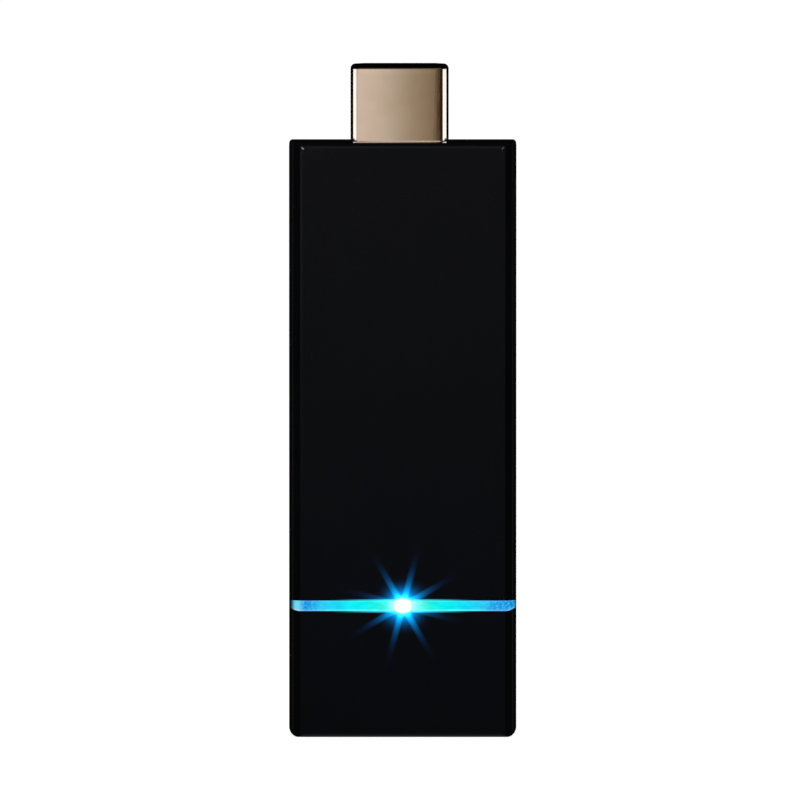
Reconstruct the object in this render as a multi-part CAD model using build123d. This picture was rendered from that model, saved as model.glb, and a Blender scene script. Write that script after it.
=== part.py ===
"""Wireless display dongle: a slim black stick with a gold-plated video plug at its top end, a micro power inlet at its
bottom end and a lit bar set into a groove across its front.

Frame: millimetres. +Z runs up the stick to the plug, -Y is the glossy front with the lit bar, +X is the side with the
reset button. The origin is the centre of the bottom end. Every piece is written as its own solid.
"""
import math
import os

from build123d import *

os.makedirs("parts", exist_ok=True)

# ---------------------------------------------------------------- driving dimensions
CASE_W, CASE_T, CASE_H = 32.2, 11.0, 84.3     # width (X), thickness (Y), height (Z)
FRONT_EDGE_R, BACK_EDGE_R = 1.83, 1.8         # long edges of the case, seen from above
TOP_CORNER_R, BOTTOM_CORNER_R = 0.45, 1.4     # corners of the outline, seen from the front
TOP_ROUND, BOTTOM_ROUND = 0.52, 0.30          # ends of the front and back faces, seen from the side
FRAME_SLOPE = 0.14                            # the fine bevel that frames the front face: its rise over run
FRAME_SIDE, FRAME_TOP, FRAME_BOTTOM = 1.95, 0.78, 0.48   # where it starts, in from each edge of the case
FACET_CUT, FACET_SLOPE = 0.010, 0.05          # depth and slope of the facet at each of its corners
WALL_FRONT, WALL_SIDE, WALL_END, WALL_BACK = 1.5, 1.5, 1.6, 1.3
PARTING_Y = 1.2                               # where the front shell and the back cover meet
REVEAL, REVEAL_DEPTH = 0.15, 0.5              # the fine shadow line round that joint
LIP_T, LIP_H = 0.7, 1.0                       # the cover's locating lip inside the front shell

BAR_Z, BAR_H, BAR_DEPTH = 18.65, 1.48, 1.10   # the lit bar: centre height, height and depth
BAR_BEND_X, BAR_BEND_R = 14.5, 2.4            # from here out its lower edge sweeps up round the corners
BAR_END_Y = 0.2                               # how far the bar wraps back along each side

PLUG_W, PLUG_T, PLUG_OUT = 13.9, 4.45, 11.0   # type A plug shell, and how far it stands out of the case
PLUG_WALL, PLUG_TIP_R, PLUG_CORNER_R = 0.35, 0.70, 1.2
PLUG_REAR_Z = 76.8
PLUG_X = -0.44                                 # the plug sits a little left of the case's middle
PLUG_TIP_Z = CASE_H + PLUG_OUT
PIN_PITCH, PIN_W, PIN_T = 1.0, 0.42, 0.18

INLET_W, INLET_T, INLET_WALL = 7.5, 2.4, 0.25  # micro-B receptacle shell
INLET_MOUTH_Z, INLET_REAR_Z = 0.5, 6.6

BOARD_T = 1.0
BOARD_HALF_W, BOARD_Z0, BOARD_Z1 = 13.6, 2.6, 81.6
BOARD_TOP_Z = 77.2                             # the board edge that the plug straddles

BUTTON_Z, BUTTON_Y = 30.0, -1.35
BUTTON_L, BUTTON_H, BUTTON_TRAVEL = 5.0, 1.8, 0.25
SCREW_AT = [(-11.3, 72.0), (11.3, 22.7)]
PIN_AT = [(11.3, 72.0), (-11.3, 22.7)]

HW, HT = CASE_W / 2, CASE_T / 2
F, B = -BOARD_T / 2, BOARD_T / 2               # the board's front and back faces


# ---------------------------------------------------------------- helpers
def block(x0, x1, y0, y1, z0, z1):
    return Pos((x0 + x1) / 2, (y0 + y1) / 2, (z0 + z1) / 2) * Box(x1 - x0, y1 - y0, z1 - z0)


def along_z(sketch, z0, z1):
    return extrude(Plane.XY.offset(z0) * sketch, amount=z1 - z0)


def along_y(sketch, y0, y1):
    """A sketch in (X, Z), from y0 to y1."""
    return extrude(Plane(origin=(0, y1, 0), x_dir=(1, 0, 0), z_dir=(0, -1, 0)) * sketch, amount=y1 - y0)


def along_x(sketch, x0, x1):
    """A sketch in (Y, Z), from x0 to x1."""
    return extrude(Plane(origin=(x0, 0, 0), x_dir=(0, 1, 0), z_dir=(1, 0, 0)) * sketch, amount=x1 - x0)


def rod_y(x, z, r, y0, y1):
    return along_y(Pos(x, z) * Circle(r), y0, y1)


def outline(points, radii):
    """A polygon with its own radius at each corner."""
    made = Polygon(*points, align=None)
    for (px, py), r in zip(points, radii):
        if r > 0:
            at = [v for v in made.vertices() if abs(v.X - px) < 1e-6 and abs(v.Y - py) < 1e-6]
            made = fillet(at, r)
    return made


def poly(points):
    """A polygon whose face looks up the sketch's normal, whichever way round its points come."""
    area = sum(a[0] * b[1] - b[0] * a[1] for a, b in zip(points, points[1:] + points[:1]))
    return Polygon(*(points if area > 0 else points[::-1]), align=None)


def rounded(x0, x1, y0, y1, r):
    rs = r if isinstance(r, (list, tuple)) else [r] * 4
    return outline([(x0, y0), (x1, y0), (x1, y1), (x0, y1)], rs)


def ribbon(path, t):
    """A polygon of even thickness t about a path of points."""
    left, right = [], []
    n = len(path)
    for i, (u, v) in enumerate(path):
        dirs = []
        if i:
            d = (u - path[i - 1][0], v - path[i - 1][1])
            m = math.hypot(*d)
            dirs.append((d[0] / m, d[1] / m))
        if i < n - 1:
            d = (path[i + 1][0] - u, path[i + 1][1] - v)
            m = math.hypot(*d)
            dirs.append((d[0] / m, d[1] / m))
        nx = -sum(d[1] for d in dirs)
        ny = sum(d[0] for d in dirs)
        m = math.hypot(nx, ny)
        nx, ny = nx / m, ny / m
        grow = 1.0 / (nx * -dirs[0][1] + ny * dirs[0][0])
        left.append((u + nx * grow * t / 2, v + ny * grow * t / 2))
        right.append((u - nx * grow * t / 2, v - ny * grow * t / 2))
    return poly(left + right[::-1])


def soften(part, r, pick=None):
    """Rounds the picked edges, or leaves the part as it is where they can't take the radius."""
    edges = part.edges() if pick is None else pick(part.edges())
    try:
        made = fillet(edges, r)
        return made if made.is_valid else part
    except Exception:
        return part


def group(parts):
    solids = [s for p in parts for s in p.solids()]
    return Compound(children=solids) if len(solids) > 1 else solids[0]


def write(name, part):
    solids = part.solids()
    shape = Compound(children=list(solids)) if len(solids) > 1 else solids[0]
    export_step(shape, f"parts/{name}.step")
    print(name, len(solids), round(sum(s.volume for s in solids), 3))


# ---------------------------------------------------------------- the outer form shared by both shells
front_outline = rounded(-HW, HW, 0, CASE_H, [BOTTOM_CORNER_R, BOTTOM_CORNER_R, TOP_CORNER_R, TOP_CORNER_R])
EDGE_Y = -HT + FRAME_SLOPE * FRAME_SIDE
plan_outline = outline(
    [(-HW, EDGE_Y), (-HW + FRAME_SIDE, -HT), (HW - FRAME_SIDE, -HT), (HW, EDGE_Y), (HW, HT), (-HW, HT)],
    [FRONT_EDGE_R, 0, 0, FRONT_EDGE_R, BACK_EDGE_R, BACK_EDGE_R],
)
side_outline = outline(
    [(-HT + FRAME_SLOPE * FRAME_BOTTOM, 0), (HT, 0), (HT, CASE_H), (-HT + FRAME_SLOPE * FRAME_TOP, CASE_H),
     (-HT, CASE_H - FRAME_TOP), (-HT, FRAME_BOTTOM)],
    [BOTTOM_ROUND, BOTTOM_ROUND, TOP_ROUND, TOP_ROUND, 0, 0],
)
body = along_z(plan_outline, 0, CASE_H) & along_y(front_outline, -HT, HT) & along_x(side_outline, -HW, HW)
# a tiny facet where two bevels of the frame meet the front face
for sx in (-1, 1):
    for sz, z in ((-1, FRAME_BOTTOM), (1, CASE_H - FRAME_TOP)):
        facet = Plane(origin=(sx * (HW - FRAME_SIDE), -HT + FACET_CUT, z), z_dir=(sx * FACET_SLOPE, -1, sz * FACET_SLOPE))
        body -= extrude(facet * Rectangle(3, 3), amount=1)

IN_X = HW - WALL_SIDE
IN_Z0, IN_Z1 = WALL_END, CASE_H - WALL_END
IN_FRONT, IN_BACK = -HT + WALL_FRONT, HT - WALL_BACK


def room(y0, y1, front_r, back_r, x=IN_X, z0=IN_Z0, z1=IN_Z1):
    return along_z(rounded(-x, x, y0, y1, [front_r, front_r, back_r, back_r]), z0, z1)


def plug_outline(grow=0.0):
    """The plug's D shape: its wide side faces front. grow moves every side out by that much."""
    w, t = PLUG_W / 2, PLUG_T / 2
    made = outline(
        [(-w, -t), (w, -t), (w, 0.40), (5.30, t), (-5.30, t), (-w, 0.40)],
        [PLUG_CORNER_R, PLUG_CORNER_R, 0.8, 0.7, 0.7, 0.8],
    )
    return Pos(PLUG_X, 0) * (made if grow == 0 else offset(made, amount=grow))


def inlet_outline(grow=0.0):
    w, t = INLET_W / 2, INLET_T / 2
    made = outline(
        [(-w, -t), (w, -t), (w, 0.25), (2.95, t), (-2.95, t), (-w, 0.25)],
        [0.40, 0.40, 0.35, 0.35, 0.35, 0.35],
    )
    return made if grow == 0 else offset(made, amount=grow)


# ---------------------------------------------------------------- lit bar: a clear U that lies in a groove across the front and both sides
BAR_Z0, BAR_Z1 = BAR_Z - BAR_H / 2, BAR_Z + BAR_H / 2
BAR_RISE = BAR_BEND_R - math.sqrt(BAR_BEND_R ** 2 - (HW - BAR_BEND_X) ** 2)


def bar_ring(gap, end_y):
    """The bar's U, made smaller by gap above and below and ending at end_y on each side."""
    z0, z1 = BAR_Z0 + gap, BAR_Z1 - gap
    ring = along_z(plan_outline - rounded(-HW + BAR_DEPTH, HW - BAR_DEPTH, -HT + BAR_DEPTH, HT - BAR_DEPTH, 0.7), z0, z1)
    for s in (-1, 1):
        x0, x1 = sorted((s * BAR_BEND_X, s * (HW + 1)))
        ring -= block(x0, x1, -HT - 1, HT + 1, z0 - 1, z0 + 0.9) - rod_y(s * BAR_BEND_X, z0 + BAR_BEND_R, BAR_BEND_R, -HT - 2, HT + 2)
    # both ends are round, seen from the side
    r = (z1 - z0 - BAR_RISE) / 2
    keep = block(-HW - 1, HW + 1, -HT - 1, end_y - r, z0, z1) + along_x(Pos(end_y - r, z1 - r) * Circle(r), -HW - 1, HW + 1)
    return ring & keep


groove = bar_ring(0.0, BAR_END_Y)
bar = bar_ring(0.02, BAR_END_Y - 0.03)

STEM_W, STEM_TIP_Y = 3.2, -1.42
RIB_Y = IN_FRONT + 1.2                                    # inner face of the thick rib behind the groove
stem = block(-STEM_W / 2, STEM_W / 2, -HT + BAR_DEPTH, STEM_TIP_Y, BAR_Z0 + 0.05, BAR_Z1 - 0.05)
stem = soften(stem, 0.25, lambda e: e.filter_by(Axis.Y))
light_bar = bar + stem
STAKES = [-12.0, -6.5, 6.5, 12.0]
for sx in STAKES:
    light_bar += rod_y(sx, BAR_Z, 0.5, -HT + BAR_DEPTH - 0.2, RIB_Y + 0.05)
    light_bar += rod_y(sx, BAR_Z, 0.8, RIB_Y, RIB_Y + 0.35)          # the melted head that holds it
write("light_guide", light_bar)

# ---------------------------------------------------------------- front shell
front = body & block(-HW - 1, HW + 1, -HT - 1, PARTING_Y, -1, CASE_H + 1)
front -= room(IN_FRONT, PARTING_Y + 1, 0.5, 0.0)
# the rib behind the groove keeps the wall thick and the light in
front += block(-IN_X, IN_X, IN_FRONT - 0.2, RIB_Y, BAR_Z - 2.1, BAR_Z + 2.1) & block(-IN_X, IN_X, -HT, HT, 0, CASE_H)
for s in (-1, 1):                                         # and down each side, behind the bar's ends
    x0, x1 = sorted((s * (IN_X - 0.75), s * IN_X))
    front += block(x0, x1, IN_FRONT, -0.75, BAR_Z - 2.1, BAR_Z + 2.1)
front -= groove
front -= block(-STEM_W / 2 - 0.05, STEM_W / 2 + 0.05, -HT + BAR_DEPTH - 0.1, RIB_Y + 0.1, BAR_Z0, BAR_Z1)
for sx in STAKES:
    front -= rod_y(sx, BAR_Z, 0.55, -HT + BAR_DEPTH - 0.1, RIB_Y + 0.1)
# posts that the board lies on: two take screws, two have a locating pin
for x, z in SCREW_AT + PIN_AT:
    front += rod_y(x, z, 1.9, IN_FRONT - 0.1, F)
    side = math.copysign(1, x)
    x0, x1 = sorted((x, side * (IN_X + 0.1)))
    front += block(x0, x1, IN_FRONT - 0.1, F - 1.2, z - 0.4, z + 0.4)        # web to the side wall
for x, z in SCREW_AT:
    front -= rod_y(x, z, 0.65, -HT + 1.9, F + 0.1)
for x, z in PIN_AT:
    front += soften(rod_y(x, z, 0.7, F - 0.2, B + 0.45), 0.25, lambda e: e.sort_by(Axis.Y)[-1:])
# holes for the plug and the inlet, open to the parting line so that the board drops straight in
plug_hole = along_z(plug_outline(0.12), IN_Z1 - 0.5, CASE_H + 1)
front -= plug_hole
front -= block(PLUG_X - PLUG_W / 2 - 0.12, PLUG_X + PLUG_W / 2 + 0.12, 0.3, PARTING_Y + 0.5, IN_Z1 - 0.5, CASE_H + 1)
inlet_hole = along_z(inlet_outline(0.20), -1, IN_Z0 + 0.5)
front -= inlet_hole
front -= block(-INLET_W / 2 - 0.20, INLET_W / 2 + 0.20, 0.1, PARTING_Y + 0.5, -1, IN_Z0 + 0.5)
# slots that catch the plug's two ears, so that plugging in doesn't load the solder
for s in (-1, 1):
    x0, x1 = sorted((PLUG_X + s * 7.15, PLUG_X + s * 8.30))
    rib = block(x0, x1, IN_FRONT - 0.1, -0.20, 78.0, IN_Z1 + 0.1)
    rib -= block(x0 - 0.01, x1 + 0.01, -1.62, 0.0, 79.15, 80.75)
    front += rib
# fences either side of the inlet
for s in (-1, 1):
    x0, x1 = sorted((s * 4.0, s * 4.8))
    front += block(x0, x1, IN_FRONT - 0.1, F - 0.35, IN_Z0 - 0.1, 5.6)
# button hole through the right-hand wall
button_hole = along_x(Pos(BUTTON_Y, BUTTON_Z) * SlotOverall(BUTTON_L + 0.12, BUTTON_H + 0.12, rotation=90), IN_X - 1, HW + 1)
front -= button_hole
# pockets for the cover's snap hooks
HOOK_Z = [12.0, 41.0, 66.0]
for s in (-1, 1):
    for hz in HOOK_Z:
        x0, x1 = sorted((s * (IN_X - 0.05), s * (IN_X + 0.38)))
        front -= block(x0, x1, 0.28, 0.95, hz - 2.1, hz + 2.1)
write("front_shell", front)

# ---------------------------------------------------------------- back cover
back = body & block(-HW - 1, HW + 1, PARTING_Y, HT + 1, -1, CASE_H + 1)
back -= block(-HW - 1, HW + 1, PARTING_Y, PARTING_Y + REVEAL, -1, CASE_H + 1) - block(
    -HW + REVEAL_DEPTH, HW - REVEAL_DEPTH, PARTING_Y - 1, PARTING_Y + 1, REVEAL_DEPTH, CASE_H - REVEAL_DEPTH
)
back -= room(PARTING_Y - 1, IN_BACK, 0.0, 0.5)
LX0, LX1 = IN_X - 0.05 - LIP_T, IN_X - 0.05
LZ0, LZ1 = IN_Z0 + 0.05, IN_Z1 - 0.05
lip = block(-LX1, LX1, PARTING_Y - LIP_H, PARTING_Y + 0.1, LZ0, LZ1) - block(
    -LX0, LX0, PARTING_Y - LIP_H - 1, PARTING_Y + 1, LZ0 + LIP_T, LZ1 - LIP_T
)
root = block(-IN_X, IN_X, PARTING_Y, PARTING_Y + 1.2, IN_Z0, IN_Z1) - block(
    -LX0, LX0, PARTING_Y - 1, PARTING_Y + 2, LZ0 + LIP_T, LZ1 - LIP_T
)
back += lip + root
for s in (-1, 1):
    for hz in HOOK_Z:
        # a hook on a finger of the lip: ramped where it slides in, square where it holds
        x_in, x_out = LX1 - 0.05, LX1 + 0.34
        wedge = poly([(s * x_in, 0.34), (s * x_out, 0.62), (s * x_out, 0.90), (s * x_in, 0.90)])
        back += along_z(wedge, hz - 2.0, hz + 2.0)
        for dz in (-2.75, 2.25):
            x0, x1 = sorted((s * (LX0 - 0.1), s * (LX1 + 0.4)))
            back -= block(x0, x1, PARTING_Y - LIP_H - 0.1, PARTING_Y, hz + dz, hz + dz + 0.5)
# clear the lip where the plug, the inlet, the button's flange and the plug's ears pass
back -= block(PLUG_X - 8.6, PLUG_X + 8.6, -1, PARTING_Y, 77.0, IN_Z1)
back -= block(PLUG_X - 8.6, PLUG_X + 8.6, PARTING_Y - 0.01, PARTING_Y + 1.3, LZ1 - LIP_T - 0.1, IN_Z1)
back -= block(-5.0, 5.0, -1, PARTING_Y + 1.3, IN_Z0 - 0.01, LZ0 + LIP_T + 0.1)
# tongues that close the rest of the plug's and the inlet's holes
back += block(PLUG_X - PLUG_W / 2 - 0.07, PLUG_X + PLUG_W / 2 + 0.07, 0.35, PARTING_Y + 0.1, IN_Z1, CASE_H - 0.35) - along_z(
    plug_outline(0.12), IN_Z1 - 1, CASE_H + 1
)
back += block(-INLET_W / 2 - 0.15, INLET_W / 2 + 0.15, 0.15, PARTING_Y + 0.1, 0.35, IN_Z0) - along_z(
    inlet_outline(0.20), -1, IN_Z0 + 1
)
back -= plug_hole
back -= inlet_hole
# posts that press on the board, and the rib that holds the plug down
for x, z in ((-11.4, 10.0), (11.4, 10.0), (-11.4, 77.0), (11.4, 77.0)):
    back += rod_y(x, z, 1.1, B, IN_BACK + 0.1)
back += block(PLUG_X - 4.6, PLUG_X + 4.6, PLUG_T / 2, IN_BACK + 0.1, 79.3, 80.5)
# posts melted over the heat spreader
SPREAD_Y0, SPREAD_Y1 = 2.80, 3.60
SPREAD_POSTS = [(-8.4, 36.5), (8.4, 36.5), (-8.4, 67.0), (8.4, 67.0)]
for x, z in SPREAD_POSTS:
    back += rod_y(x, z, 0.8, SPREAD_Y0 - 0.05, IN_BACK + 0.1)
    back += rod_y(x, z, 1.25, SPREAD_Y0 - 0.35, SPREAD_Y0)
    back += rod_y(x, z, 1.6, SPREAD_Y1, IN_BACK + 0.1)
# air slots over the spreader
for i in range(7):
    vz = 51.0 + 2.5 * i
    for s in (-1, 1):
        back -= along_y(Pos(s * 5.4, vz) * SlotOverall(8.2, 1.1), IN_BACK - 0.2, HT + 1)
# a shallow bare recess where a rating label would go
back -= along_y(Pos(0, 33.0) * RectangleRounded(23.0, 20.0, 1.5), HT - 0.15, HT + 1)
write("back_cover", back)

# ---------------------------------------------------------------- plug
shell = along_z(plug_outline(), PLUG_REAR_Z, PLUG_TIP_Z)
shell = soften(shell, PLUG_TIP_R, lambda e: e.group_by(Axis.Z)[-1])
bore = along_z(plug_outline(-PLUG_WALL), PLUG_REAR_Z - 1, PLUG_TIP_Z - PLUG_WALL)
bore = soften(bore, 0.22, lambda e: e.group_by(Axis.Z)[-1])
shell -= bore
shell -= along_z(plug_outline(-PLUG_TIP_R), PLUG_TIP_Z - 1, PLUG_TIP_Z + 1)
for s in (-1, 1):
    x0, x1 = sorted((PLUG_X + s * (PLUG_W / 2 - PLUG_WALL), PLUG_X + s * PLUG_W / 2))
    shell += block(x0, x1, -0.95, 0.35, 74.5, PLUG_REAR_Z + 0.2)      # solder leg beside the board's neck
    x0, x1 = sorted((PLUG_X + s * (PLUG_W / 2 - 0.1), PLUG_X + s * 8.05))
    shell += block(x0, x1, -1.56, -0.45, 79.20, 80.70)                # ear
    wx = PLUG_X + s * 3.2
    shell -= block(wx - 0.95, wx + 0.95, 1.0, 3.0, 89.3, 91.5)             # friction-spring window, back side only
# the folded seam runs down the middle of the back side, with one dovetail
for z0, z1 in ((PLUG_REAR_Z - 1, 84.9), (87.0, PLUG_TIP_Z - 1.2)):
    shell -= block(PLUG_X - 0.05, PLUG_X + 0.05, 1.0, 3.0, z0, z1)
seam = Pos(PLUG_X, 0) * ribbon([(0.0, 84.85), (-0.75, 85.0), (-0.45, 86.9), (0.0, 87.05)], 0.10)
shell -= along_y(seam, 1.0, 3.0)
write("plug_shell", shell)


def plug_pin(x, s):
    """One contact: s is -1 for the front row and 1 for the back row."""
    path = [(s * 0.59, 74.9), (s * 0.59, 76.70), (s * 1.00, 77.15), (s * 1.00, 90.3), (s * 0.66, 91.8), (s * 0.95, 93.0)]
    return along_x(ribbon(path, PIN_T), x - PIN_W / 2, x + PIN_W / 2)


front_pins = [plug_pin(PLUG_X - 4.5 + i * PIN_PITCH, -1) for i in range(10)]
back_pins = [plug_pin(PLUG_X - 4.0 + i * PIN_PITCH, 1) for i in range(9)]
write("plug_contacts_front_row", group(front_pins))
write("plug_contacts_back_row", group(back_pins))

INS_Z0, INS_Z1, SLOT_Z = BOARD_TOP_Z, PLUG_TIP_Z - 1.15, 85.5
insulator = along_z(plug_outline(-PLUG_WALL - 0.03), INS_Z0, INS_Z1)
insulator = soften(insulator, 0.25, lambda e: e.group_by(Axis.Z)[-1])
insulator -= block(PLUG_X - 5.85, PLUG_X + 5.85, -0.80, 0.80, SLOT_Z, INS_Z1 + 1)
insulator -= along_z(Pos(PLUG_X, 0) * offset(Rectangle(11.7, 1.6), amount=0.25), INS_Z1 - 0.25, INS_Z1 + 1)
grooves = [Pos(PLUG_X - 4.5 + i, 0) * block(-0.27, 0.27, -1.32, -0.7, SLOT_Z, 93.6) for i in range(10)]
grooves += [Pos(PLUG_X - 4.0 + i, 0) * block(-0.27, 0.27, 0.7, 1.32, SLOT_Z, 93.6) for i in range(9)]
for cut in grooves + front_pins + back_pins:
    insulator -= cut
write("plug_insulator", insulator)

# ---------------------------------------------------------------- power inlet
inlet = along_z(inlet_outline(), INLET_MOUTH_Z, INLET_REAR_Z)
inlet -= along_z(inlet_outline(-INLET_WALL), INLET_MOUTH_Z - 1, INLET_REAR_Z + 1)
for s in (-1, 1):
    x0, x1 = sorted((s * (INLET_W / 2 - 0.1), s * 4.95))
    inlet += block(x0, x1, F - 0.25, F, 5.75, INLET_REAR_Z)           # wing soldered to the board
    x0, x1 = sorted((s * (INLET_W / 2 - 0.1), s * (INLET_W / 2 + 0.12)))
    inlet += block(x0, x1, F - 0.25, 0.15, 5.0, INLET_REAR_Z)
    inlet -= block(s * 1.9 - 0.45, s * 1.9 + 0.45, -2.0, -0.8, 2.2, 3.6)  # latch windows for the cable's hooks
inlet = soften(inlet, 0.1, lambda e: e.group_by(Axis.Z)[0])
write("inlet_shell", inlet)

pins5 = []
for i in range(5):
    px = (i - 2) * 0.65
    path = [(-0.14, 1.7), (-0.14, 5.55), (-0.56, 5.95), (-0.56, 8.1)]
    pins5.append(along_x(ribbon(path, 0.12), px - 0.15, px + 0.15))
write("inlet_contacts", group(pins5))
tongue = block(-1.85, 1.85, -0.78, -0.20, 1.25, 5.3)
tongue = soften(tongue, 0.15, lambda e: e.group_by(Axis.Z)[0])
base5 = along_z(inlet_outline(-INLET_WALL - 0.02), 5.2, INLET_REAR_Z)
tongue = tongue + base5
for cut in pins5:
    tongue -= cut
write("inlet_insulator", tongue)

# ---------------------------------------------------------------- main board
board_shape = rounded(-BOARD_HALF_W, BOARD_HALF_W, BOARD_Z0, BOARD_Z1, 0.6)
board = along_y(board_shape, F, B)
board -= block(PLUG_X - 8.4, PLUG_X + 8.4, -1, 1, BOARD_TOP_Z, BOARD_Z1 + 1)   # the plug's notch
for s in (-1, 1):
    x0, x1 = sorted((PLUG_X + s * 6.50, PLUG_X + s * 7.05))
    board -= block(x0, x1, -1, 1, 74.4, BOARD_TOP_Z + 0.1)
board -= block(-3.95, 3.95, -1, 1, BOARD_Z0 - 1, 6.75)                  # the inlet's notch
for x, z in SCREW_AT:
    board -= rod_y(x, z, 0.95, -1, 1)
for x, z in PIN_AT:
    board -= rod_y(x, z, 0.76, -1, 1)
for dx in (-2, 2):                                                     # tooling holes
    board -= rod_y(dx * 5.6, 15.4, 0.4, -1, 1)
write("main_board", board)


# ---------------------------------------------------------------- parts on the board
def chip(x, z, w, h, t, face, r=0.0):
    """A part w wide and h tall, t thick, standing on the board's front (-1) or back (+1) face."""
    y0, y1 = (F - t, F) if face < 0 else (B, B + t)
    part = block(x - w / 2, x + w / 2, y0, y1, z - h / 2, z + h / 2)
    if r:
        part = soften(part, r, lambda e: e.filter_by(Axis.Y))
    return part


write("system_chip", chip(0, 57, 14, 14, 1.1, 1))
write("memory_chips", group([chip(-5.6, 39.6, 9, 13.3, 1.0, 1), chip(5.6, 39.6, 9, 13.3, 1.0, 1)]))
write("flash_chip", chip(-1.5, 48.5, 11.5, 13, 1.0, -1))
write("power_chip", chip(-9.55, 57, 4, 4, 0.85, 1))
write("crystals", group([chip(8.6, 45, 3.2, 2.5, 0.8, -1, 0.4), chip(6.4, 34.2, 2.5, 2.0, 0.6, -1, 0.3)]))

# shield over the processor and memory: a fence soldered to the board, and a lid clipped over it
SH = (-12.0, 12.0, 30.2, 66.0)
FENCE_T, FENCE_H, LID_T = 0.2, 1.45, 0.2
LID_Y = B + 1.6
fence = block(SH[0], SH[1], B, B + FENCE_H, SH[2], SH[3]) - block(
    SH[0] + FENCE_T, SH[1] - FENCE_T, B - 1, B + 3, SH[2] + FENCE_T, SH[3] - FENCE_T
)
fence += block(SH[0], SH[1], B + FENCE_H - FENCE_T, B + FENCE_H, SH[2], SH[3]) - block(
    SH[0] + 0.9, SH[1] - 0.9, B - 1, B + 3, SH[2] + 0.9, SH[3] - 0.9
)
for cx in (-9.0, -3.0, 3.0, 9.0):                                        # cut-outs where tracks pass under it
    fence -= block(cx - 0.8, cx + 0.8, B - 0.1, B + 0.35, SH[2] - 1, SH[2] + 1)
    fence -= block(cx - 0.8, cx + 0.8, B - 0.1, B + 0.35, SH[3] - 1, SH[3] + 1)
write("shield_fence", fence)
g = 0.04
lid = block(SH[0] - g - LID_T, SH[1] + g + LID_T, LID_Y, LID_Y + LID_T, SH[2] - g - LID_T, SH[3] + g + LID_T)
skirt = block(SH[0] - g - LID_T, SH[1] + g + LID_T, LID_Y - 1.0, LID_Y + 0.05, SH[2] - g - LID_T, SH[3] + g + LID_T)
skirt -= block(SH[0] - g, SH[1] + g, LID_Y - 2, LID_Y + 1, SH[2] - g, SH[3] + g)
lid = soften(lid + skirt, 0.18, lambda e: e.group_by(Axis.Y)[-1])
for i in range(5):                                                      # spring slits in the skirt
    cz = 34.0 + i * 7.0
    for s in (-1, 1):
        x0, x1 = sorted((s * (SH[1] - 0.1), s * (SH[1] + 0.6)))
        lid -= block(x0, x1, LID_Y - 2, LID_Y - 0.25, cz - 0.15, cz + 0.15)
write("shield_lid", lid)
write("thermal_pad_chip", block(-7, 7, B + 1.1, LID_Y, 50, 64))
write("thermal_pad_spreader", block(-6.9, 6.9, LID_Y + LID_T, SPREAD_Y0, 46.5, 65.0))
plate = along_y(rounded(-10.6, 10.6, 34.2, 69.4, 0.8), SPREAD_Y0, SPREAD_Y1)
for x, z in SPREAD_POSTS:
    plate -= rod_y(x, z, 0.86, 2, 4)
write("heat_spreader", plate)

# radio module
write("radio_board", chip(-3.0, 31.0, 12.0, 12.0, 0.6, -1))
can = block(-8.4, 2.4, F - 0.6 - 1.2, F - 0.6, 25.6, 36.4)
can = soften(can, 0.3, lambda e: e.group_by(Axis.Y)[0])
can -= block(-8.25, 2.25, F - 0.6 - 1.05, F - 0.5, 25.75, 36.25)
write("radio_can", can)
write("radio_chip", block(-5.6, -0.6, F - 0.6 - 0.75, F - 0.6, 28.6, 33.6))
write("foam_pad", block(-7.0, 1.0, IN_FRONT, F - 1.8, 27.0, 35.0))


# antennas: stamped strips that stand on the board's bottom corners, clear of the metal above
def antenna(s):
    top = F - 2.2
    parts = [
        block(*sorted((s * 5.6, s * 13.0)), top, top + 0.2, 3.4, 5.4),
        block(*sorted((s * 11.4, s * 13.0)), top, top + 0.2, 5.2, 8.6),
        block(*sorted((s * 6.2, s * 7.0)), top, F, 5.2, 5.4),          # feed
        block(*sorted((s * 8.6, s * 9.4)), top, F, 5.2, 5.4),          # ground
        block(*sorted((s * 11.8, s * 12.6)), top, F, 8.4, 8.6),        # support
        block(*sorted((s * 6.2, s * 7.0)), F - 0.2, F, 5.2, 6.1),
        block(*sorted((s * 8.6, s * 9.4)), F - 0.2, F, 5.2, 6.1),
        block(*sorted((s * 11.8, s * 12.6)), F - 0.2, F, 7.7, 8.6),
    ]
    made = parts[0]
    for p in parts[1:]:
        made += p
    return made


write("antenna_main", antenna(1))
write("antenna_diversity", antenna(-1))
write(
    "antenna_test_sockets",
    group([chip(-5.6, 9.6, 2.4, 2.4, 0.5, -1) + rod_y(-5.6, 9.6, 0.7, F - 1.0, F - 0.45) - rod_y(-5.6, 9.6, 0.25, F - 1.1, F - 0.6),
           chip(5.6, 9.6, 2.4, 2.4, 0.5, -1) + rod_y(5.6, 9.6, 0.7, F - 1.0, F - 0.45) - rod_y(5.6, 9.6, 0.25, F - 1.1, F - 0.6)]),
)

# power
write("input_fuse", chip(-1.6, 10.0, 1.6, 3.2, 0.7, -1))
write("surge_diode", chip(1.6, 10.2, 1.4, 2.6, 1.0, -1))


def coil(x, z, w, t, face):
    return soften(chip(x, z, w, w, t, face), 0.35, lambda e: e.filter_by(Axis.Y))


write("power_inductors", group([coil(-9.3, 12.4, 3.2, 1.5, -1), coil(9.3, 12.4, 3.2, 1.5, -1),
                                coil(9.6, 54.2, 2.5, 1.1, 1), coil(9.6, 58.2, 2.5, 1.1, 1)]))
write("bulk_capacitors", group([chip(-5.5, 14.0, 3.4, 2.6, 1.5, -1), chip(5.5, 14.0, 3.4, 2.6, 1.5, -1)]))

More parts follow.
